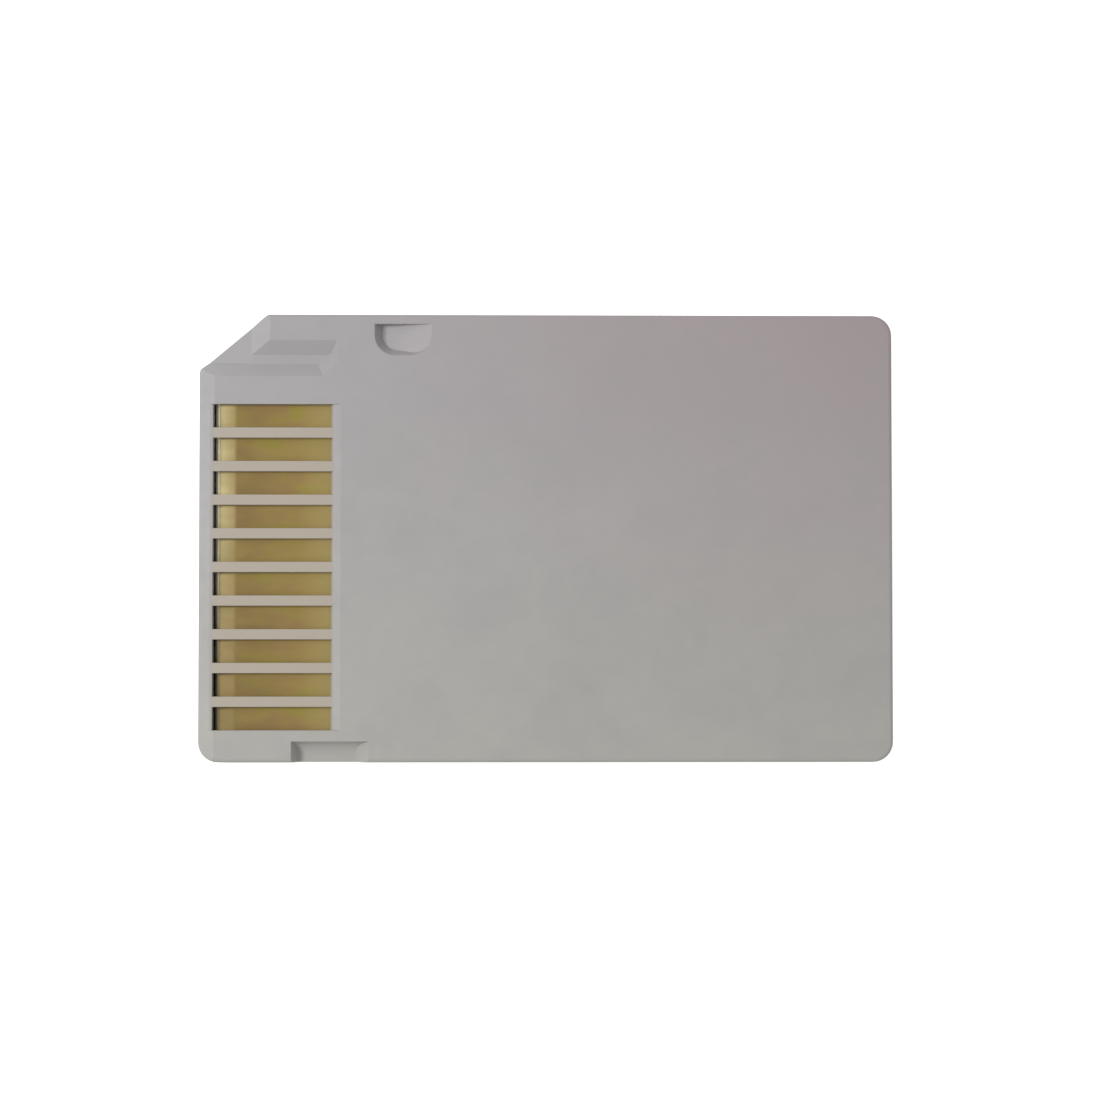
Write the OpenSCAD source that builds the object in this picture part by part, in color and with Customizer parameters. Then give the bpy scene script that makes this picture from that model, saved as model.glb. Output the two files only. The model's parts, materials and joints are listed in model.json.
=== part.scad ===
// Slim card adapter: a small memory card slides into its mouth and is offered on ten gold contacts.
// Frame: +Z out of the contact face, +X from the contact end towards the mouth, origin at the middle of
// the cover's outer face. The adapter lies on its cover with the contacts up.
// Places along X are given as distances from the contact end, and turned into the frame by from_front().

/* [Outside] */
// Length from the contact end to the mouth
body_length = 31; // [30:0.5:36]
// Width between the long sides
body_width = 20; // [20:0.5:26]
// Thickness over both faces
body_thickness = 1.6; // [1.6:0.05:2.4]
// Radius of the three plain corners
corner_radius = 0.9; // [0.5:0.1:1.4]
// Length that the key cut takes off the long side
key_length = 3.04; // [2.6:0.02:3.4]
// Width that the key cut takes off the contact end
key_width = 2.5; // [2.2:0.1:2.8]
// Rounding at both ends of the key cut
key_rounding = 0.3; // [0.25:0.05:0.4]
// Radius that softens the outer edges
edge_break = 0.16; // [0.1:0.02:0.2]
// Depth of the fine groove along the parting line
parting_groove = 0.03; // [0.01:0.01:0.05]

/* [Shells] */
// Thickness of the plate that carries the contact windows
contact_plate = 0.35; // [0.3:0.01:0.38]
// Thickness of the back cover's plate
cover_plate = 0.3; // [0.26:0.01:0.32]
// Thickness of the wall in front of the windows
front_wall = 0.63; // [0.5:0.01:0.8]
// Radius of the weld pegs on the cover
peg_radius = 0.45; // [0.3:0.05:0.55]
// Height of the weld pegs above the parting line
peg_height = 0.6; // [0.4:0.05:0.65]
// Gap around and above a weld peg
peg_clearance = 0.05; // [0.02:0.01:0.1]
// Distance from a peg's middle to the cored pocket beside it
peg_boss = 1.15; // [0.8:0.05:1.4]
// Least wall around a cored pocket
pocket_wall = 0.78; // [0.6:0.02:1]
// Corner radius of a cored pocket
core_radius = 0.4; // [0.2:0.05:0.5]
// Depth of the flat recess in the cover's outer face
recess_depth = 0.06; // [0.03:0.01:0.08]
// Rim left around that recess
recess_rim = 1.2; // [0.8:0.1:2]
// Depth of the thumb notch at the cover's mouth edge
thumb_depth = 1.6; // [1:0.1:2]
// Width of the thumb notch at the mouth
thumb_width = 7.2; // [6:0.1:9]

/* [Contact windows] */
// Distance from one window to the next
window_pitch = 1.5; // [1.44:0.01:1.5]
// Width of a window
window_width = 1.04; // [0.8:0.02:1.1]
// Length of a window at the plate's inner face
window_length = 5.24; // [4.5:0.01:5.6]
// Length of the sloped end of a window
window_ramp = 0.12; // [0.05:0.01:0.2]
// Distance from the middle of the body to the middle of the row of windows
window_offset = 1.3; // [1.2:0.01:1.36]
// How far the ribs lie below the contact face
rib_drop = 0.06; // [0.02:0.01:0.08]
// Length of the slope that rises from the ribs to the contact face
rib_ramp = 0.33; // [0.2:0.01:0.5]

/* [Edge slopes] */
// Length of the lead-in slope on the contact end
lead_run = 0.5; // [0.4:0.05:0.8]
// Drop of the lead-in slope at the edge
lead_drop = 0.16; // [0.1:0.02:0.3]
// Distance from the contact end to the top of the slope behind the key's ledge
ledge_end = 3.15; // [3.1:0.05:3.6]
// Length of that slope
ledge_ramp = 0.85; // [0.5:0.05:1]
// Fall of the ledge from that slope to the contact end
ledge_fall = 0.12; // [0.05:0.01:0.15]

/* [Guide groove] */
// Land between the long side and the groove
groove_land = 1.16; // [1:0.02:1.3]
// Width of the groove's sloped outer wall
groove_outer = 0.63; // [0.4:0.01:0.7]
// Width of the groove's floor
groove_floor = 0.42; // [0.3:0.02:0.6]
// Width of the groove's sloped inner wall
groove_inner = 0.56; // [0.3:0.02:0.6]
// Depth of the groove
groove_depth = 0.36; // [0.15:0.01:0.4]
// Distance from the contact end to the end of the groove
groove_end = 6.15; // [5:0.05:6.6]
// Length of the slope that ends the groove
groove_ramp = 0.31; // [0.15:0.01:0.5]
// Distance that the end's inner corner is cut back
groove_corner = 0.45; // [0.3:0.01:0.6]

/* [Retention pocket] */
// Distance from the contact end to the pocket's middle
pocket_place = 9.1; // [9:0.02:10]
// Length of the pocket along the long side
pocket_length = 2.55; // [2:0.05:2.8]
// Distance from the long side to the pocket's far wall
pocket_width = 1.83; // [1.4:0.01:2]
// Corner radius of the pocket
pocket_corner = 0.9; // [0.6:0.05:1]
// Depth of the pocket at its deepest
pocket_depth = 0.5; // [0.4:0.02:0.6]
// Length of the hollow that falls from the steep end to the deepest place
pocket_hollow = 0.5; // [0.4:0.05:0.9]
// Width of the pocket's sloped wall
pocket_draft = 0.36; // [0.1:0.01:0.4]
// Lip left between the long side and the pocket
pocket_lip = 0.43; // [0.3:0.01:0.5]

/* [Retention notch] */
// Distance from the contact end to the notch's steep end
notch_start = 4.15; // [3.5:0.05:5]
// Length of the notch
notch_length = 3.43; // [2.5:0.01:4]
// Width of the notch from the long side
notch_width = 0.93; // [0.7:0.01:0.96]
// Depth of the notch
notch_depth = 0.65; // [0.4:0.05:0.7]
// Width of the notch's steep end
notch_lean = 0.24; // [0.05:0.01:0.4]
// Length of the slope that ends the notch
notch_ramp = 0.58; // [0.3:0.02:0.8]

/* [Terminals] */
// Thickness of the terminal strip
terminal_thickness = 0.12; // [0.08:0.01:0.15]
// Width of strip hidden under the rib on each side of a window
terminal_tuck = 0.05; // [0.02:0.01:0.1]
// Gap between the front wall and the terminal
terminal_gap = 0.06; // [0.04:0.01:0.3]
// Length of the terminal's sloped front
terminal_slope = 0.91; // [0.5:0.01:0.95]
// Drop of the terminal's sloped front
terminal_dip = 0.14; // [0.1:0.01:0.26]
// Radius of the soft bend behind the sloped front
terminal_curve = 1.0; // [0.5:0.1:1.4]
// Outer radius of the fold at the front
terminal_fold = 0.17; // [0.16:0.01:0.3]
// Straight leg below the fold
terminal_leg = 0.2; // [0.05:0.01:0.3]
// Length of strip hidden past the end of the window
terminal_tail = 0.5; // [0.2:0.05:0.8]

/* [Board] */
// Thickness of the circuit board
board_thickness = 0.3; // [0.25:0.01:0.34]
// Board beyond the outermost terminals
board_margin = 0.08; // [0.04:0.01:0.1]
// Gap around the board's edges
board_gap = 0.06; // [0.03:0.01:0.08]
// Width of the rib that locates the board
locator_width = 0.9; // [0.6:0.05:1.2]
// Distance that the locating rib reaches into the board
locator_reach = 0.55; // [0.3:0.05:0.7]
// Width of the bars that hold the board from both sides
rest_width = 0.6; // [0.4:0.05:0.8]
// Side of the square controller chip
chip_side = 4.5; // [3.5:0.1:5]
// Height of the controller chip
chip_height = 0.42; // [0.35:0.01:0.44]
// Length of a capacitor or resistor
chip_part_length = 1.0; // [0.6:0.05:1.1]
// Width of a capacitor or resistor
chip_part_width = 0.5; // [0.3:0.05:0.6]
// Height of a capacitor
capacitor_height = 0.36; // [0.25:0.01:0.42]
// Height of a resistor
resistor_height = 0.26; // [0.2:0.01:0.4]
// Gap between the small parts, and between them and the chip
part_gap = 0.4; // [0.3:0.05:0.6]

/* [Small card slot] */
// Length of the small card
card_length = 15; // [14:0.1:15.2]
// Width of the small card
card_width = 11; // [10:0.1:11.2]
// Thickness of the small card
card_thickness = 0.7; // [0.66:0.01:0.73]
// Gap on each side of the card
card_gap = 0.15; // [0.05:0.01:0.2]
// Length of the flared lead-in at the mouth
mouth_lead = 0.6; // [0.3:0.05:0.8]
// Flare of the lead-in on each side
mouth_flare = 0.3; // [0.1:0.02:0.4]

/* [Card contacts] */
// Distance from one contact to the next
spring_pitch = 1.1; // [1:0.01:1.2]
// Width of a contact
spring_width = 0.5; // [0.3:0.02:0.56]
// Thickness of the contact strip
spring_thickness = 0.12; // [0.08:0.01:0.12]
// Length of the soldered tail under the board
spring_tail = 2.1; // [1.6:0.05:2.4]
// Distance from the comb to the middle of the contact's crest
spring_reach = 1.75; // [1.5:0.05:2.2]
// Distance that the crest stands into the card's space
spring_press = 0.12; // [0.06:0.01:0.14]
// Height of the crest above the blade
crest_rise = 0.07; // [0.04:0.01:0.1]
// Length of the crest along the blade
crest_length = 1.1; // [0.8:0.05:1.3]
// Drop of the turned-down tip below the blade
tip_drop = 0.06; // [0.02:0.01:0.07]
// Film of solder between the contact's tail and the board
solder = 0.01; // [0.005:0.001:0.02]
// Length of the comb along the body
comb_length = 1.3; // [1.1:0.05:1.6]
// Ledge of the comb beyond the card slot on each side
comb_ledge = 0.4; // [0.3:0.05:0.6]
// Gap around the comb
comb_gap = 0.05; // [0.02:0.01:0.08]
// Gap around a contact in the comb
channel_gap = 0.08; // [0.04:0.01:0.12]
// Depth of the reliefs in the cover below the contacts' tips
relief_depth = 0.08; // [0.06:0.01:0.1]

/* [Hidden] */
contact_count = 10;
spring_count = 8;
capacitor_count = 4;
resistor_count = 2;
plastic = [0.66, 0.65, 0.65];
gold = [0.78, 0.62, 0.28];
board_green = [0.12, 0.36, 0.2];
past = 0.1;             // how far a cutter runs past the face that it opens
seam = 0.05;            // how far a raised feature starts inside its plate
arc_steps = 10;
corner_sides = 32;

function from_front(distance) = distance - body_length / 2;

// Levels, from the contact face down to the cover
plate_inner = body_thickness - contact_plate;
board_top = plate_inner - terminal_thickness;
board_bottom = board_top - board_thickness;
card_bottom = plate_inner - card_thickness;
rib_level = body_thickness - rib_drop;

// Card slot and comb, measured back from the mouth
slot_half = card_width / 2 + card_gap;
slot_start = body_length - card_length - comb_gap;
comb_start = slot_start - comb_length - comb_gap;
comb_half = slot_half + comb_ledge;

// Row of windows and the board behind it
row_half = ((contact_count - 1) * window_pitch + window_width) / 2;
row_middle = -window_offset;
board_low = row_middle - row_half - terminal_tuck - board_margin;
board_high = row_middle + row_half + terminal_tuck + board_margin;
window_end = front_wall + window_length;
terminal_front = front_wall + terminal_gap;
terminal_angle = atan2(terminal_dip, terminal_slope);
terminal_flat = terminal_front + terminal_slope + terminal_curve * tan(terminal_angle / 2);
board_start = terminal_flat + board_gap;
board_end = comb_start - comb_gap;
terminal_end = window_end + window_ramp + terminal_tail;
locator_place = (terminal_end + board_end) / 2;

// Card contacts, as heights of the middle of the strip
spring_start = board_end - spring_tail;
spring_top = board_bottom - solder;
tail_level = spring_top - spring_thickness / 2;
crest_level = card_bottom + spring_press - spring_thickness / 2;
blade_level = crest_level - crest_rise;
tip_level = blade_level - tip_drop;
crest_place = slot_start + spring_reach;
tip_place = crest_place + crest_length / 2 + 0.15;

// The chip lies between the board's front edge and the card contacts' tails, with the small parts beside it
chip_place = (board_start + spring_start) / 2;
part_pitch = chip_part_length + part_gap;
part_offset = (chip_side + chip_part_width) / 2 + part_gap;

// Edges of the guide groove across the body
groove_out = body_width / 2 - groove_land;
groove_high = groove_out - groove_outer;
groove_low = groove_high - groove_floor;
groove_in = groove_low - groove_inner;
groove_level = body_thickness - groove_depth;

// Weld pegs: a row of three on each side of the card slot and two beside the groove
rail_middle = (slot_half + body_width / 2) / 2;
rail_peg_first = slot_start - 0.25;
rail_peg_last = body_length - 1.6;
rail_pegs = [rail_peg_first, (rail_peg_first + rail_peg_last) / 2, rail_peg_last];
land_middle = (board_high + body_width / 2) / 2;
land_pegs = [groove_end - 1.2, (pocket_place + pocket_length / 2 + comb_start) / 2];
peg_places = concat(
    [for (place = rail_pegs, side = [-1, 1]) [place, side * rail_middle]],
    [for (place = land_pegs) [place, land_middle]]
);

terminal_names = [for (i = [1:contact_count]) str("terminal_", i)];
spring_names = [for (i = [1:spring_count]) str("card_spring_", i)];
capacitor_names = [for (i = [1:capacitor_count]) str("capacitor_", i)];
resistor_names = [for (i = [1:resistor_count]) str("resistor_", i)];

function row_place(i, count, pitch) = (i - (count + 1) / 2) * pitch;
function terminal_middle(i) = row_middle - row_place(i, contact_count, window_pitch);
function spring_middle(i) = -row_place(i, spring_count, spring_pitch);

// A closed outline of a strip of even thickness along a path
function unit(v) = v / norm(v);
function left_of(v) = unit([-v[1], v[0]]);
function step_in(path, i) = path[max(i, 1)] - path[max(i, 1) - 1];
function step_out(path, i) = path[min(i, len(path) - 2) + 1] - path[min(i, len(path) - 2)];
function mitre(path, i) =
    let (n = left_of(step_in(path, i)), m = unit(n + left_of(step_out(path, i))))
    m / (m * n);
function strip(path, thickness) = concat(
    [for (i = [0:len(path) - 1]) path[i] + mitre(path, i) * thickness / 2],
    [for (i = [len(path) - 1:-1:0]) path[i] - mitre(path, i) * thickness / 2]
);

function arc(middle, radius, from, to) =
    [for (i = [0:arc_steps])
        let (a = from + (to - from) * i / arc_steps)
        middle + radius * [cos(a), sin(a)]];

function rounded(x, y, r) = concat(
    arc([x[1] - r, y[1] - r], r, 0, 90),
    arc([x[0] + r, y[1] - r], r, 90, 180),
    arc([x[0] + r, y[0] + r], r, 180, 270),
    arc([x[1] - r, y[0] + r], r, 270, 360)
);

module block(x, y, z) {
    translate([x[0], y[0], z[0]]) cube([x[1] - x[0], y[1] - y[0], z[1] - z[0]]);
}

// A profile drawn in X and Z, carried across the body
module across(y) {
    translate([0, y[1], 0]) rotate([90, 0, 0]) linear_extrude(y[1] - y[0]) children();
}

// A profile drawn in Y and Z, carried along the body
module along(x) {
    translate([x[0], 0, 0]) rotate([90, 0, 90]) linear_extrude(x[1] - x[0]) children();
}

// The outline's five corners as [x, y, radius]. The last two round the ends of the key cut.
key_slant = norm([key_length, key_width]);
key_end_x = key_length + key_rounding * (key_slant - key_length) / key_width;
key_end_y = key_width + key_rounding * (key_slant - key_width) / key_length;
outline_corners = [
    [body_length / 2 - corner_radius, body_width / 2 - corner_radius, corner_radius],
    [body_length / 2 - corner_radius, corner_radius - body_width / 2, corner_radius],
    [corner_radius - body_length / 2, corner_radius - body_width / 2, corner_radius],
    [from_front(key_end_x), body_width / 2 - key_rounding, key_rounding],
    [from_front(key_rounding), body_width / 2 - key_end_y, key_rounding]
];

// The body's outline with a softened edge at one face and the parting groove at the other
module outer_form(face, parting) {
    inward = sign(parting - face);
    soft = [for (i = [0:3]) [edge_break * (1 - cos(30 * i)), inward * edge_break * (1 - sin(30 * i))]];
    groove = [[0, -inward * parting_groove], [parting_groove, 0]];
    hull() {
        for (corner = outline_corners) {
            r = corner[2];
            translate([corner[0], corner[1], 0])
                rotate_extrude($fn = corner_sides)
                    polygon(concat(
                        [[0, parting]],
                        [[r - groove[1][0], parting + groove[1][1]], [r, parting + groove[0][1]]],
                        [for (p = soft) [r - p[0], face + p[1]]],
                        [[0, face]]
                    ));
        }
    }
}

// The slope across the contact end, which starts at the level of the ribs
module lead_in_slope() {
    rise = lead_drop / lead_run;
    across([-body_width, body_width])
        polygon([
            [from_front(-past), rib_level - lead_drop - past * rise],
            [from_front(lead_run + past + rib_drop / rise), body_thickness + past * rise],
            [from_front(-past), body_thickness + past * rise]
        ]);
}

// The low field of the ribs, open to the contact end and ended by a slope behind the windows
module rib_field() {
    start = from_front(window_end + window_ramp);
    slant = rib_ramp / rib_drop;
    across([row_middle - row_half, row_middle + row_half])
        polygon([
            [from_front(-past), rib_level],
            [start, rib_level],
            [start + rib_ramp + past * slant, body_thickness + past],
            [from_front(-past), body_thickness + past]
        ]);
}

// The ledge beside the key cut, as low as the groove, and the slope that rises from it to the land
module key_ledge() {
    slant = ledge_ramp / groove_depth;
    across([groove_low, body_width / 2 + past])
        polygon([
            [from_front(-past), groove_level - ledge_fall],
            [from_front(ledge_end - ledge_ramp), groove_level],
            [from_front(ledge_end) + past * slant, body_thickness + past],
            [from_front(-past), body_thickness + past]
        ]);
}

// The room in front of a slope that rises to the contact face at X = 0
module before_slope(depth, ramp, reach) {
    slant = ramp / depth;
    across([-body_width, body_width])
        polygon([
            [-reach, body_thickness + past],
            [-reach, body_thickness - depth - past],
            [-ramp - past * slant, body_thickness - depth - past],
            [past * slant, body_thickness + past]
        ]);
}

// A channel's profile in Y and Z, ended by a slope that rises to the contact face at x[1]
module ended_channel(x, depth, ramp) {
    intersection() {
        children();
        translate([x[1], 0, 0]) before_slope(depth, ramp, x[1] - x[0]);
    }
}

module guide_groove() {
    outer_slant = groove_outer / groove_depth;
    inner_slant = groove_inner / groove_depth;
    corner = groove_corner / sqrt(2);
    intersection() {
        ended_channel([from_front(-past), from_front(groove_end)], groove_depth, groove_ramp)
            along([from_front(-past), from_front(groove_end) + past])
                polygon([
                    [groove_low, groove_level],
                    [groove_high, groove_level],
                    [groove_out + past * outer_slant, body_thickness + past],
                    [groove_in - past * inner_slant, body_thickness + past]
                ]);
        translate([from_front(groove_end) - corner, groove_in + corner, 0])
            rotate([0, 0, -45])
                before_slope(groove_depth, groove_inner, body_length);
    }
}

// The pocket's outline drawn smaller by inset, at one level. It runs past the long side.
module pocket_outline(inset, level) {
    x = [
        from_front(pocket_place - pocket_length / 2) + inset,
        from_front(pocket_place + pocket_length / 2) - inset
    ];
    y = [body_width / 2 - pocket_width + inset, body_width / 2 + pocket_corner];
    translate([0, 0, level])
        linear_extrude(0.01)
            polygon(rounded(x, y, pocket_corner - inset));
}

// A pocket with a sloped wall and a lip at its side. Its floor falls steeply, then rises towards the mouth.
module retention_pocket() {
    steep_end = from_front(pocket_place - pocket_length / 2);
    shallow_end = from_front(pocket_place + pocket_length / 2);
    rise = pocket_depth / (pocket_length - pocket_hollow);
    hollow = [for (i = [0:arc_steps])
        let (a = 90 * i / arc_steps)
        [steep_end + pocket_hollow * (1 - cos(a)), body_thickness - pocket_depth * sin(a)]];
    intersection() {
        hull() {
            pocket_outline(pocket_draft, body_thickness - pocket_depth - 0.01);
            pocket_outline(-pocket_draft * past / pocket_depth, body_thickness + past);
        }
        across([0, body_width / 2 - pocket_lip])
            polygon(concat(
                [[steep_end, body_thickness + 2 * past]],
                hollow,
                [[shallow_end + past, body_thickness + past * rise]],
                [[shallow_end + past, body_thickness + 2 * past]]
            ));
    }
}

module retention_notch() {
    edge = -body_width / 2;
    back = edge + notch_width;
    hollow = arc([back - notch_depth, body_thickness], notch_depth, -90, 0);
    x = [from_front(notch_start), from_front(notch_start + notch_length)];
    intersection() {
        ended_channel(x, notch_depth, notch_ramp)
            along([x[0], x[1] + past])
                polygon(concat(
                    [[edge - past, body_thickness - notch_depth]],
                    hollow,
                    [[back, body_thickness + past], [edge - past, body_thickness + past]]
                ));
        translate([x[0], 0, 0])
            rotate([0, 0, 180])
                before_slope(notch_depth, notch_lean, notch_length + past);
    }
}

module contact_windows() {
    slant = window_ramp / contact_plate;
    for (i = [1:contact_count]) {
        middle = terminal_middle(i);
        across([middle - window_width / 2, middle + window_width / 2])
            polygon([
                [from_front(front_wall), plate_inner - past],
                [from_front(window_end - past * slant), plate_inner - past],
                [from_front(window_end + window_ramp + past * slant), body_thickness + past],
                [from_front(front_wall), body_thickness + past]
            ]);
    }
}

// Rooms inside the shell: the board's, the comb's and the card's, all open towards the cover
module inner_rooms() {
    z = [cover_plate - past, plate_inner];
    block(
        [from_front(front_wall), from_front(comb_start)],
        [board_low - board_gap, board_high + board_gap],
        z
    );
    block(
        [from_front(comb_start) - past, from_front(slot_start)],
        [-comb_half - comb_gap, comb_half + comb_gap],
        z
    );
    card_room();
}

module card_room() {
    mouth = body_length / 2;
    lead = mouth - mouth_lead;
    flare = mouth_flare / mouth_lead;
    wide = slot_half + mouth_flare + past * flare;
    rise = 0.12 / mouth_lead;
    translate([0, 0, cover_plate - past])
        linear_extrude(plate_inner - cover_plate + past)
            polygon([
                [from_front(slot_start) - past, -slot_half],
                [lead, -slot_half],
                [mouth + past, -wide],
                [mouth + past, wide],
                [lead, slot_half],
                [from_front(slot_start) - past, slot_half]
            ]);
    across([-slot_half, slot_half])
        polygon([
            [lead, plate_inner],
            [lead, plate_inner - past],
            [mouth + past, plate_inner - past],
            [mouth + past, plate_inner + (mouth_lead + past) * rise]
        ]);
}

// Pockets that keep the side rails even in section, between the bosses for the weld pegs
module cored_pockets() {
    y = [slot_half + pocket_wall, body_width / 2 - pocket_wall];
    for (side = [-1, 1], i = [0, 1]) {
        x = [from_front(rail_pegs[i] + peg_boss), from_front(rail_pegs[i + 1] - peg_boss)];
        mirror([0, side < 0 ? 1 : 0, 0])
            translate([0, 0, cover_plate - past])
                linear_extrude(plate_inner - cover_plate + past)
                    polygon(rounded(x, y, core_radius));
    }
}

module at_pegs() {
    for (place = peg_places) {
        translate([from_front(place[0]), place[1], 0]) children();
    }
}

// Bars on the plate's inner face and the rib that locates the board
module board_stops() {
    x = [from_front(terminal_end + 0.3), from_front(board_end - 0.3)];
    for (y = [board_low + 1.2, board_high - 1.2 - rest_width]) {
        block(x, [y, y + rest_width], [board_top, plate_inner + seam]);
    }
    block(
        [from_front(locator_place - locator_width / 2), from_front(locator_place + locator_width / 2)],
        [board_high - locator_reach, board_high + board_gap + seam],
        [board_bottom, plate_inner + seam]
    );
}

module contact_shell() {
    color(plastic) {
        difference() {
            outer_form(body_thickness, cover_plate);
            inner_rooms();
            contact_windows();
            rib_field();
            lead_in_slope();
            guide_groove();
            key_ledge();
            retention_pocket();
            retention_notch();
            cored_pockets();
            at_pegs()
                translate([0, 0, cover_plate - past])
                    cylinder(h = peg_height + peg_clearance + past, r = peg_radius + peg_clearance, $fn = 24);
        }
        board_stops();
    }
}

module thumb_notch() {
    radius = (pow(thumb_width / 2, 2) + pow(thumb_depth, 2)) / (2 * thumb_depth);
    translate([body_length / 2 - thumb_depth + radius, 0, -past])
        cylinder(h = cover_plate + 2 * past, r = radius, $fn = 96);
}

module outer_recess() {
    rim = recess_rim;
    x = [rim - body_length / 2, body_length / 2 - thumb_depth - rim / 2];
    y = [rim - body_width / 2, body_width / 2 - rim];
    corner = rim / 2;
    cut = [from_front(key_length), body_width / 2 - key_width];
    difference() {
        translate([0, 0, -past])
            linear_extrude(recess_depth + past)
                polygon(rounded(x, y, corner));
        translate([cut[0], body_width / 2, 0])
            rotate([0, 0, -atan2(key_length, key_width)])
                block([-body_width, rim], [-body_width, body_width], [-2 * past, recess_depth + past]);
    }
}

module back_cover() {
    color(plastic) {
        difference() {
            outer_form(0, cover_plate);
            outer_recess();
            thumb_notch();
            for (i = [1:spring_count]) {
                y = spring_middle(i);
                half = spring_width / 2 + channel_gap;
                block(
                    [from_front(crest_place), from_front(tip_place + 0.3)],
                    [y - half, y + half],
                    [cover_plate - relief_depth, cover_plate + past]
                );
            }
        }
        at_pegs()
            translate([0, 0, cover_plate - seam])
                cylinder(h = peg_height + seam, r = peg_radius, $fn = 24);
        for (y = [board_low + 0.5, board_high - 0.5 - rest_width]) {
            block(
                [from_front(board_start + 0.4), from_front(spring_start - 0.4)],
                [y, y + rest_width],
                [cover_plate - seam, board_bottom]
            );
        }
    }
}

module circuit_board() {
    gap = board_gap;
    color(board_green)
        difference() {
            block(
                [from_front(board_start), from_front(board_end)],
                [board_low, board_high],
                [board_bottom, board_top]
            );
            block(
                [
                    from_front(locator_place - locator_width / 2) - gap,
                    from_front(locator_place + locator_width / 2) + gap
                ],
                [board_high - locator_reach - gap, board_high + past],
                [board_bottom - past, board_top + past]
            );
        }
}

// A gold strip: flat on the board behind its window, then a gentle slope and a leg folded down in front
module terminal(i) {
    level = plate_inner - terminal_thickness / 2;
    lean = terminal_angle;
    fold_radius = terminal_fold - terminal_thickness / 2;
    fold_x = terminal_front + terminal_fold;
    run = terminal_front + terminal_slope - fold_x + fold_radius * sin(lean);
    fold = [from_front(fold_x), level - run * tan(lean) - fold_radius * cos(lean)];
    curve = [from_front(terminal_flat), level - terminal_curve];
    path = concat(
        [[from_front(terminal_end), level]],
        arc(curve, terminal_curve, 90, 90 + lean),
        arc(fold, fold_radius, 90 + lean, 180),
        [[fold[0] - fold_radius, fold[1] - terminal_leg]]
    );
    half = window_width / 2 + terminal_tuck;
    middle = terminal_middle(i);
    color(gold)
        across([middle - half, middle + half])
            polygon(strip(path, terminal_thickness));
}

// A sprung contact: a tail under the board, a blade through the comb, a crest and a turned-down tip
module card_spring(i) {
    start = crest_place - crest_length / 2;
    crest = [for (k = [0:arc_steps - 1])
        [
            from_front(start + crest_length * k / arc_steps),
            blade_level + crest_rise * sin(180 * k / arc_steps)
        ]];
    path = concat(
        [
            [from_front(spring_start), tail_level],
            [from_front(comb_start + 0.3), tail_level],
            [from_front(slot_start - 0.1), blade_level]
        ],
        crest,
        [[from_front(tip_place), tip_level]]
    );
    y = spring_middle(i);
    color(gold)
        across([y - spring_width / 2, y + spring_width / 2])
            polygon(strip(path, spring_thickness));
}

module contact_comb() {
    back = comb_start + comb_length;
    top = spring_top + channel_gap / 2;
    color([0.16, 0.16, 0.17])
        difference() {
            block(
                [from_front(comb_start), from_front(back)],
                [-comb_half, comb_half],
                [cover_plate + comb_gap / 2, plate_inner - comb_gap / 2]
            );
            for (i = [1:spring_count]) {
                y = spring_middle(i);
                half = spring_width / 2 + channel_gap;
                block(
                    [from_front(comb_start) - past, from_front(back) + past],
                    [y - half, y + half],
                    [cover_plate - past, top]
                );
            }
        }
}

module controller_chip() {
    half = chip_side / 2;
    low = board_bottom - chip_height;
    bevel = 0.12;
    dimple = [from_front(chip_place) - half + 0.7, row_middle + half - 0.7];
    color([0.13, 0.13, 0.14])
        difference() {
            block(
                [from_front(chip_place) - half, from_front(chip_place) + half],
                [row_middle - half, row_middle + half],
                [low, board_bottom]
            );
            for (turn = [0:90:270]) {
                translate([from_front(chip_place), row_middle, 0])
                    rotate([0, 0, turn])
                        across([-half - past, half + past])
                            polygon([
                                [half - bevel, low - past],
                                [half - bevel, low],
                                [half, low + bevel],
                                [half + past, low + bevel],
                                [half + past, low - past]
                            ]);
            }
            translate([dimple[0], dimple[1], low - past])
                cylinder(h = past + 0.04, r = 0.25, $fn = 24);
        }
}

// A chip part lying along X: a body between two slightly larger metal ends
module chip_part(column, side, height, tint) {
    half = chip_part_length / 2;
    end = 0.22;
    step = 0.02;
    color(tint)
        translate([from_front(chip_place) + column * part_pitch, row_middle + side * part_offset, 0]) {
            block(
                [-half + end / 2, half - end / 2],
                [-chip_part_width / 2 + step, chip_part_width / 2 - step],
                [board_bottom - height + step, board_bottom]
            );
            for (turn = [-1, 1]) {
                translate([turn * (half - end / 2), 0, 0])
                    block(
                        [-end / 2, end / 2],
                        [-chip_part_width / 2, chip_part_width / 2],
                        [board_bottom - height, board_bottom]
                    );
            }
        }
}

// Two capacitors on each side of the chip, with a resistor between them
module capacitor(i) {
    chip_part(i % 2 == 1 ? -1 : 1, i > 2 ? -1 : 1, capacitor_height, [0.62, 0.5, 0.36]);
}

module resistor(i) {
    chip_part(0, i > 1 ? -1 : 1, resistor_height, [0.1, 0.1, 0.11]);
}

contact_shell();
back_cover();
circuit_board();
contact_comb();
controller_chip();
for (i = [1:contact_count]) terminal(i);
for (i = [1:spring_count]) card_spring(i);
for (i = [1:capacitor_count]) capacitor(i);
for (i = [1:resistor_count]) resistor(i);
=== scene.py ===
"""Dresses the slim card adapter: moulded plastic, gold-plated strips and the small parts inside,
seen from straight above on white."""
import json
import math

import bpy
from mathutils import Matrix, Vector


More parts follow.
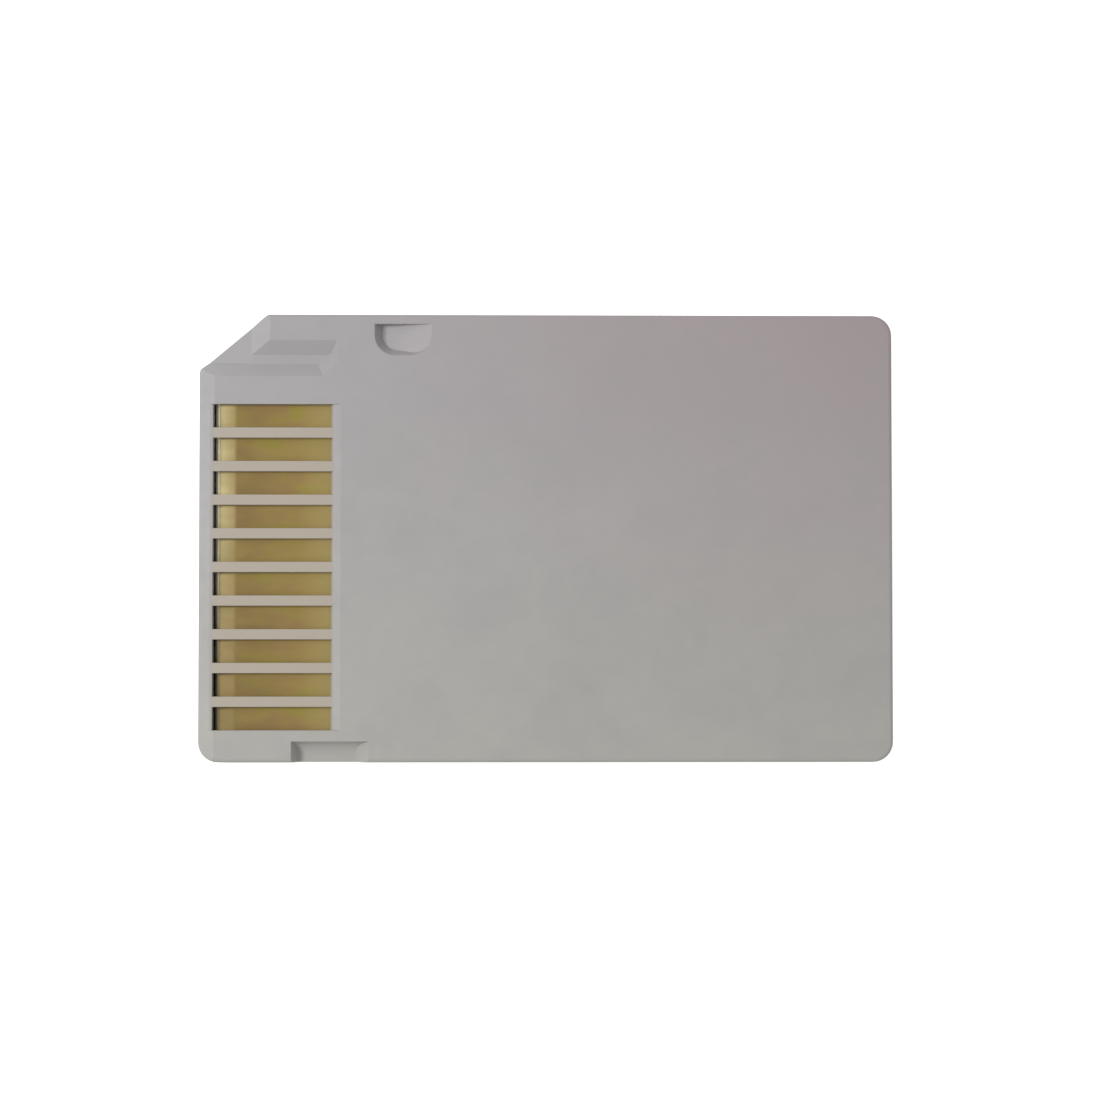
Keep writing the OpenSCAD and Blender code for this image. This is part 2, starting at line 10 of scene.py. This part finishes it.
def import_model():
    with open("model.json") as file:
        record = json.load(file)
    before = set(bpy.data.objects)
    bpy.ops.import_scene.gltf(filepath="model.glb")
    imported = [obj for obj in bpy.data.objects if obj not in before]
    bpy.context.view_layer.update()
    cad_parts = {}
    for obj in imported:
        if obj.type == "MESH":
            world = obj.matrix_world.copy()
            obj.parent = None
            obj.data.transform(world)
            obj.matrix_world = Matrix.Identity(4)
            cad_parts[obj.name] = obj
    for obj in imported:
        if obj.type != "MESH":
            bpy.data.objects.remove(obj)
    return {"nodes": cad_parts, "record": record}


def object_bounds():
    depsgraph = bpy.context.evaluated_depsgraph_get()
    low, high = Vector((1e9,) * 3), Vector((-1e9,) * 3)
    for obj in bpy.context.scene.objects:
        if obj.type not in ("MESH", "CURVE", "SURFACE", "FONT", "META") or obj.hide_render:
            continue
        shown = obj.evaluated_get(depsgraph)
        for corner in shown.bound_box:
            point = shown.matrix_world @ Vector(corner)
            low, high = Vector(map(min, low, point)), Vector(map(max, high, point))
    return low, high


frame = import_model()
CAD_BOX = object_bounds()
MM = 0.001
BODY_LOW, BODY_HIGH = CAD_BOX
BODY_MIDDLE = (BODY_LOW + BODY_HIGH) / 2

# Colours, linear
PLASTIC = (0.382, 0.374, 0.378)
# Painted shade towards one corner, rose-tinted
PLASTIC_PAINTED_SHADE = (0.365, 0.304, 0.312)
# Painted light towards the notched side, straw-tinted
PLASTIC_PAINTED_LIGHT = (0.41, 0.404, 0.36)
PLASTIC_DULL = (0.328, 0.32, 0.322)
# Painted warm light reflected from the gold onto the plastic between the windows
PLASTIC_GOLD_LIGHT = (0.438, 0.376, 0.3)
GOLD = (0.238, 0.18, 0.062)
GOLD_OLIVE = (0.216, 0.188, 0.041)
GOLD_BROWN = (0.224, 0.15, 0.063)
GOLD_DARK = (0.16, 0.112, 0.048)
GOLD_PALE = (0.264, 0.208, 0.086)
# Painted highlight on the sloped tips of the strips
GOLD_HIGHLIGHT = (0.24, 0.206, 0.107)
# Painted shade on the sloped fronts of the strips
GOLD_SHADED = (0.148, 0.11, 0.05)
# Painted light on the noses of the strips, which lie in the front wall's shadow
NOSE_LIGHT = (0.85, 0.79, 0.65)
BOARD = (0.012, 0.075, 0.03)
BOARD_TRACE = (0.03, 0.14, 0.05)
BLACK_PLASTIC = (0.02, 0.02, 0.022)
CHIP_RESIN = (0.014, 0.014, 0.016)
CERAMIC = (0.33, 0.2, 0.1)
RESISTOR = (0.008, 0.008, 0.01)
TIN = (0.62, 0.62, 0.6)
FLOOR_PAINT = (0.8, 0.8, 0.8)
WHITE = (1.0, 1.0, 1.0)

# Where warm light reflected from the gold is painted on the plastic: from the contact end, from
# the body's middle, with soft ends along X and Y, and the depths below the contact face between
# which the painted light fades out
RIBS_START = 0.65 * MM
RIBS_END = 5.95 * MM
RIBS_MIDDLE = -1.3 * MM
RIBS_HALF = 7.25 * MM
RIBS_SOFT = (0.12 * MM, 0.1 * MM)
GOLD_LIGHT_DEPTHS = (0.45 * MM, 0.38 * MM)

# Where each tone of the gold starts and ends, from the contact end
NOSE_SPAN = (0.85 * MM, 0.89 * MM)
TIP_SPAN = (1.05 * MM, 1.5 * MM)
FRONT_SPAN = (1.55 * MM, 1.7 * MM)
WORN_SPAN = (2.2 * MM, 5 * MM)
PALE_SPAN = (4.4 * MM, 5.7 * MM)
# The part of the row of contacts over which the painted tip highlight and nose light grow, and the
# painted front shade fades, towards the keyed corner
ROW_SPAN = (-6 * MM, 2 * MM)

# Where a small part's tinned ends start, from its middle, as a share of its length
TINNED_SPAN = (0.275, 0.285)

# Rounded-off edges: samples a pixel, and radii
EDGE_SAMPLES = 6
PLASTIC_EDGE = 0.05 * MM
METAL_EDGE = 0.03 * MM
BOARD_EDGE = 0.02 * MM

# Camera, key light, fill and floor
FRAME_WIDTH = 49.1 * MM
CAMERA_DISTANCE = 110 * MM
CAMERA_AIM = (0.16 * MM, -0.54 * MM)
CAMERA_TILT = (1.1, 1.9)
CAMERA_CLIP = (0.002, 5.0)
SENSOR = 36.0
KEY_ELEVATION = 50.0
KEY_AZIMUTH = 12.0
KEY_DISTANCE = 150 * MM
KEY_RADIUS = 21 * MM
KEY_POWER = 0.475
FILL_STRENGTH = 0.55
FLOOR_GLOW = 0.72
FLOOR_HALF = 1.5
FLOOR_GAP = 0.002 * MM

# Sockets of a Mix node that mixes colours
MIX_SHARE, MIX_FIRST, MIX_SECOND = 0, 6, 7
MIX_RESULT = 2


class Nodes:
    """Adds shader nodes to one material and joins them."""

    def __init__(self, name):
        self.material = bpy.data.materials.new(name)
        self.material.use_nodes = True
        self.tree = self.material.node_tree
        self.shader = self.tree.nodes["Principled BSDF"]
        self.coords = self.tree.nodes.new("ShaderNodeTexCoord")

    def add(self, kind, **settings):
        node = self.tree.nodes.new(kind)
        for key, value in settings.items():
            setattr(node, key, value)
        return node

    def join(self, source, target):
        self.tree.links.new(source, target)

    def feed(self, value, socket):
        """Joins another node's output to a socket, or sets the socket to a number or a colour."""
        if isinstance(value, tuple):
            socket.default_value = (*value, 1.0)
        elif isinstance(value, (int, float)):
            socket.default_value = value
        else:
            self.join(value, socket)

    def noise(self, scale, detail=2.0, roughness=0.5):
        """Noise in cells of 1 / scale metres, with one scale or a scale for each axis."""
        mapping = self.add("ShaderNodeMapping")
        mapping.inputs["Scale"].default_value = scale if isinstance(scale, tuple) else (scale,) * 3
        self.join(self.coords.outputs["Object"], mapping.inputs["Vector"])
        node = self.add("ShaderNodeTexNoise")
        node.inputs["Scale"].default_value = 1.0
        node.inputs["Detail"].default_value = detail
        node.inputs["Roughness"].default_value = roughness
        self.join(mapping.outputs["Vector"], node.inputs["Vector"])
        return node.outputs["Fac"]

    def spread(self, value, low, high, to_low=0.0, to_high=1.0):
        """The value, stretched from low..high to to_low..to_high and clamped."""
        node = self.add("ShaderNodeMapRange")
        ends = {"From Min": low, "From Max": high, "To Min": to_low, "To Max": to_high}
        for key, number in ends.items():
            node.inputs[key].default_value = number
        self.join(value, node.inputs["Value"])
        return node.outputs["Result"]

    def mixed(self, share, first, second):
        """A colour between two, each a tuple or another node's output."""
        node = self.add("ShaderNodeMix", data_type="RGBA")
        self.feed(share, node.inputs[MIX_SHARE])
        self.feed(first, node.inputs[MIX_FIRST])
        self.feed(second, node.inputs[MIX_SECOND])
        return node.outputs[MIX_RESULT]

    def sums(self, kind, first, second=0.0):
        """One arithmetic step on one or two values."""
        node = self.add("ShaderNodeMath", operation=kind)
        self.feed(first, node.inputs[0])
        self.feed(second, node.inputs[1])
        return node.outputs["Value"]

    def times(self, first, second):
        return self.sums("MULTIPLY", first, second)

    def axis(self, name, space="Object"):
        node = self.add("ShaderNodeSeparateXYZ")
        self.join(self.coords.outputs[space], node.inputs["Vector"])
        return node.outputs[name]

    def between(self, axis, low, high, soft):
        """One inside low..high along an axis and nought outside, with soft ends."""
        rise = self.spread(self.axis(axis), low - soft, low + soft)
        fall = self.spread(self.axis(axis), high - soft, high + soft, 1.0, 0.0)
        return self.times(rise, fall)

    def soft_edges(self, radius):
        """Normals that round every edge off over a small radius."""
        node = self.add("ShaderNodeBevel", samples=EDGE_SAMPLES)
        node.inputs["Radius"].default_value = radius
        return node.outputs["Normal"]

    def bump(self, height, strength, distance, onto):
        """Normals onto which a height is pressed."""
        node = self.add("ShaderNodeBump")
        node.inputs["Strength"].default_value = strength
        node.inputs["Distance"].default_value = distance
        self.join(height, node.inputs["Height"])
        self.join(onto, node.inputs["Normal"])
        return node.outputs["Normal"]

    def colour(self, source):
        self.join(source, self.shader.inputs["Base Color"])

    def rough(self, source):
        self.join(source, self.shader.inputs["Roughness"])

    def normal(self, source):
        self.join(source, self.shader.inputs["Normal"])


def moulded_plastic():
    """Pale grey moulded plastic with painted shade and painted light across it, and painted warm
    light reflected from the gold at the windows.
    """
    m = Nodes("moulded_plastic")

    # Painted shade, rose-tinted and clouded, grows towards one corner, and painted light,
    # straw-tinted, grows towards the notched side
    cloud = m.noise(150, 3.0)
    across = m.spread(m.axis("X"), BODY_LOW.x, BODY_HIGH.x)
    up = m.spread(m.axis("Y"), BODY_LOW.y, BODY_HIGH.y)
    corner = m.sums("ADD", m.times(across, up), m.times(cloud, 0.4))
    corner_shade = m.mixed(m.spread(corner, 0.2, 1.2), PLASTIC, PLASTIC_PAINTED_SHADE)
    side_light = m.mixed(m.spread(up, 0.0, 0.8, 0.7, 0.0), corner_shade, PLASTIC_PAINTED_LIGHT)

    # Large and small duller patches
    patches = m.spread(m.noise(420, 3.0, 0.55), 0.42, 0.72, 0.0, 0.3)
    mottle = m.spread(m.noise(1300, 3.0, 0.6), 0.4, 0.75, 0.0, 0.18)
    dull = m.mixed(mottle, m.mixed(patches, side_light, PLASTIC_DULL), PLASTIC_DULL)

    # Painted warm light reflected from the gold between the windows, on the contact plate alone
    start, end = BODY_LOW.x + RIBS_START, BODY_LOW.x + RIBS_END
    low, high = RIBS_MIDDLE - RIBS_HALF, RIBS_MIDDLE + RIBS_HALF
    soft_x, soft_y = RIBS_SOFT
    beside_gold = m.times(m.between("X", start, end, soft_x), m.between("Y", low, high, soft_y))
    plate_low, plate_high = (BODY_HIGH.z - depth for depth in GOLD_LIGHT_DEPTHS)
    on_plate = m.spread(m.axis("Z"), plate_low, plate_high, 0.0, 0.75)
    m.colour(m.mixed(m.times(beside_gold, on_plate), dull, PLASTIC_GOLD_LIGHT))

    m.rough(m.spread(m.noise(1500), 0.3, 0.7, 0.55, 0.68))
    m.shader.inputs["Specular IOR Level"].default_value = 0.35
    coarse = m.bump(m.noise(6000), 0.1, 0.02 * MM, m.soft_edges(PLASTIC_EDGE))
    m.normal(m.bump(m.noise(24000), 0.08, 0.01 * MM, coarse))
    return m.material


def gold_plate():
    """Dull gold plating, patchy and faintly streaked along the strip, with painted shade on its
    sloped front, a painted highlight on its tip and painted light on its shaded nose.
    """
    m = Nodes("gold_plate")
    streak = m.noise((300, 8000, 8000), 3.0, 0.6)
    patch = m.noise((420, 900, 420), 2.0, 0.6)
    stain = m.noise((650, 1100, 650), 2.0, 0.6)
    from_end = m.sums("SUBTRACT", m.axis("X"), BODY_LOW.x)
    up = m.spread(m.axis("Y"), *ROW_SPAN)

    # The flat part: patches and stains, paler at its far end and worn darker near its front
    toned = m.mixed(m.spread(patch, 0.38, 0.62), GOLD_BROWN, GOLD)
    olive = m.mixed(m.spread(stain, 0.48, 0.66, 0.0, 0.85), toned, GOLD_OLIVE)
    unworn = m.mixed(m.spread(from_end, *PALE_SPAN, 0.0, 0.85), olive, GOLD_PALE)
    patchy = m.spread(patch, 0.35, 0.65, 1.0, 0.35)
    worn = m.times(m.spread(from_end, *WORN_SPAN, 0.95, 0.0), patchy)
    wiped = m.mixed(worn, unworn, GOLD_DARK)

    # The sloped front under painted shade, strongest away from the keyed corner, and a painted
    # highlight on its tip that grows towards the keyed corner
    front = m.spread(from_end, *FRONT_SPAN, 1.0, 0.0)
    shaded = m.mixed(m.times(front, m.spread(up, 0.0, 1.0, 0.8, 0.4)), wiped, GOLD_SHADED)
    tip = m.times(m.spread(from_end, *TIP_SPAN, 1.0, 0.3), front)
    tip_highlight = m.mixed(m.times(tip, m.spread(up, 0.0, 1.0, 0.1, 0.95)), shaded, GOLD_HIGHLIGHT)
    # Painted light on the nose, which lies in the front wall's shadow, stronger towards the keyed
    # corner
    nose = m.spread(from_end, *NOSE_SPAN, 1.0, 0.0)
    nose_light = m.mixed(m.times(nose, m.spread(up, 0.0, 1.0, 0.15, 1.0)), tip_highlight, NOSE_LIGHT)
    m.colour(m.mixed(m.spread(streak, 0.35, 0.8, 0.0, 0.12), nose_light, GOLD_DARK))

    m.shader.inputs["Metallic"].default_value = 1.0
    m.rough(m.spread(patch, 0.3, 0.7, 0.5, 0.6))
    m.normal(m.bump(streak, 0.12, 0.01 * MM, m.soft_edges(METAL_EDGE)))
    return m.material


def board_laminate():
    """Green solder mask over faint copper tracks."""
    m = Nodes("board_laminate")
    tracks = m.add("ShaderNodeTexBrick")
    tracks.inputs["Scale"].default_value = 1600.0
    tracks.inputs["Mortar Size"].default_value = 0.12
    m.join(m.coords.outputs["Object"], tracks.inputs["Vector"])
    speckle = m.noise(5000)
    base = m.mixed(tracks.outputs["Fac"], BOARD, BOARD_TRACE)
    m.colour(m.mixed(m.spread(speckle, 0.4, 0.8, 0.0, 0.4), base, BOARD_TRACE))
    m.rough(m.spread(speckle, 0.3, 0.7, 0.3, 0.42))
    m.normal(m.bump(tracks.outputs["Fac"], 0.3, 0.02 * MM, m.soft_edges(BOARD_EDGE)))
    return m.material


def brighter(tone, factor):
    return tuple(factor * share for share in tone)


def dark_moulding(name, tone, grain, roughness):
    """A dark moulded surface with a fine grain, as on the comb and the chip."""
    m = Nodes(name)
    speck = m.noise(grain, 3.0, 0.6)
    m.colour(m.mixed(m.spread(speck, 0.35, 0.75), tone, brighter(tone, 2.2)))
    m.rough(m.spread(speck, 0.3, 0.7, roughness - 0.06, roughness + 0.06))
    m.normal(m.bump(speck, 0.15, 0.01 * MM, m.soft_edges(METAL_EDGE)))
    return m.material


def ended_part(name, tone):
    """A chip capacitor or resistor: its own body between two tinned ends."""
    m = Nodes(name)
    reach = m.sums("ABSOLUTE", m.sums("SUBTRACT", m.axis("X", "Generated"), 0.5))
    end = m.spread(reach, *TINNED_SPAN)
    speck = m.noise(4000, 3.0)
    m.colour(m.mixed(end, m.mixed(speck, tone, brighter(tone, 1.3)), TIN))
    m.join(m.spread(end, 0.0, 1.0, 0.0, 0.9), m.shader.inputs["Metallic"])
    m.rough(m.spread(speck, 0.3, 0.7, 0.35, 0.5))
    m.normal(m.bump(speck, 0.1, 0.01 * MM, m.soft_edges(METAL_EDGE)))
    return m.material


def material_table():
    """One material for each of the record's slots."""
    return {
        "housing_plastic": moulded_plastic(),
        "gold_plate": gold_plate(),
        "board_laminate": board_laminate(),
        "comb_plastic": dark_moulding("comb_plastic", BLACK_PLASTIC, 5000, 0.5),
        "chip_resin": dark_moulding("chip_resin", CHIP_RESIN, 9000, 0.6),
        "capacitor_ceramic": ended_part("capacitor_ceramic", CERAMIC),
        "resistor_body": ended_part("resistor_body", RESISTOR),
    }


def dress():
    """Gives every CAD node the material of its slot."""
    materials = material_table()
    slots = {part["node"]: part["material_slot"] for part in frame["record"]["subparts"]}
    for name, piece in frame["nodes"].items():
        piece.data.materials.clear()
        piece.data.materials.append(materials[slots[name]])


def camera():
    """Looks straight down from a little beyond the contact end and the notched side."""
    data = bpy.data.cameras.new("camera")
    data.sensor_width = SENSOR
    data.lens = SENSOR * CAMERA_DISTANCE / FRAME_WIDTH
    data.clip_start, data.clip_end = CAMERA_CLIP
    piece = bpy.data.objects.new("camera", data)
    bpy.context.scene.collection.objects.link(piece)
    left, down = (math.tan(math.radians(angle)) for angle in CAMERA_TILT)
    back = Vector((-left, -down, 1.0)).normalized()
    right = Vector((0, 1, 0)).cross(back).normalized()
    turn = Matrix((right, back.cross(right), back)).transposed()
    piece.location = Vector((*CAMERA_AIM, BODY_HIGH.z)) + back * CAMERA_DISTANCE
    piece.rotation_mode = "QUATERNION"
    piece.rotation_quaternion = turn.to_quaternion()
    bpy.context.scene.camera = piece


def lights():
    """A soft key light near the contact end, close enough to fade along the body."""
    data = bpy.data.lights.new("key", "POINT")
    data.energy = KEY_POWER
    data.shadow_soft_size = KEY_RADIUS
    key = bpy.data.objects.new("key", data)
    high, turn = math.radians(KEY_ELEVATION), math.radians(KEY_AZIMUTH)
    level = math.cos(high)
    towards = Vector((-level * math.cos(turn), level * math.sin(turn), math.sin(high)))
    key.location = BODY_MIDDLE + towards * KEY_DISTANCE
    bpy.context.scene.collection.objects.link(key)


def by_ray(tree, low, high):
    """The high value for what is seen, straight, mirrored or through clear pieces, and the low
    one for the rest."""
    path = tree.nodes.new("ShaderNodeLightPath")
    seen = path.outputs["Is Camera Ray"]
    for kind in ("Is Glossy Ray", "Is Transmission Ray"):
        either = tree.nodes.new("ShaderNodeMath")
        either.operation = "MAXIMUM"
        tree.links.new(seen, either.inputs[0])
        tree.links.new(path.outputs[kind], either.inputs[1])
        seen = either.outputs[0]
    strength = tree.nodes.new("ShaderNodeMapRange")
    strength.inputs["To Min"].default_value = low
    strength.inputs["To Max"].default_value = high
    tree.links.new(seen, strength.inputs["Value"])
    return strength.outputs["Result"]


def world():
    """An even fill from all round, seen as plain white."""
    made = bpy.data.worlds.new("studio")
    bpy.context.scene.world = made
    made.use_nodes = True
    tree = made.node_tree
    background = tree.nodes["Background"]
    background.inputs["Color"].default_value = (*WHITE, 1)
    tree.links.new(by_ray(tree, FILL_STRENGTH, 1.0), background.inputs["Strength"])


def floor_material():
    """White that glows for the eye alone, so that only a trace of a shadow shows on it."""
    material = bpy.data.materials.new("floor")
    material.use_nodes = True
    tree = material.node_tree
    shader = tree.nodes["Principled BSDF"]
    shader.inputs["Base Color"].default_value = (*FLOOR_PAINT, 1)
    shader.inputs["Roughness"].default_value = 0.9
    shader.inputs["Specular IOR Level"].default_value = 0.1
    shader.inputs["Emission Color"].default_value = (*WHITE, 1)
    tree.links.new(by_ray(tree, 0.0, FLOOR_GLOW), shader.inputs["Emission Strength"])
    return material


def floor():
    """A square of floor just below the adapter."""
    mesh = bpy.data.meshes.new("floor")
    sides = [(-1, -1), (1, -1), (1, 1), (-1, 1)]
    mesh.from_pydata([(FLOOR_HALF * x, FLOOR_HALF * y, 0) for x, y in sides], [], [(0, 1, 2, 3)])
    mesh.materials.append(floor_material())
    piece = bpy.data.objects.new("floor", mesh)
    piece.location.z = BODY_LOW.z - FLOOR_GAP
    bpy.context.scene.collection.objects.link(piece)


dress()
camera()
lights()
world()
floor()
bpy.context.scene.view_settings.view_transform = "Standard"
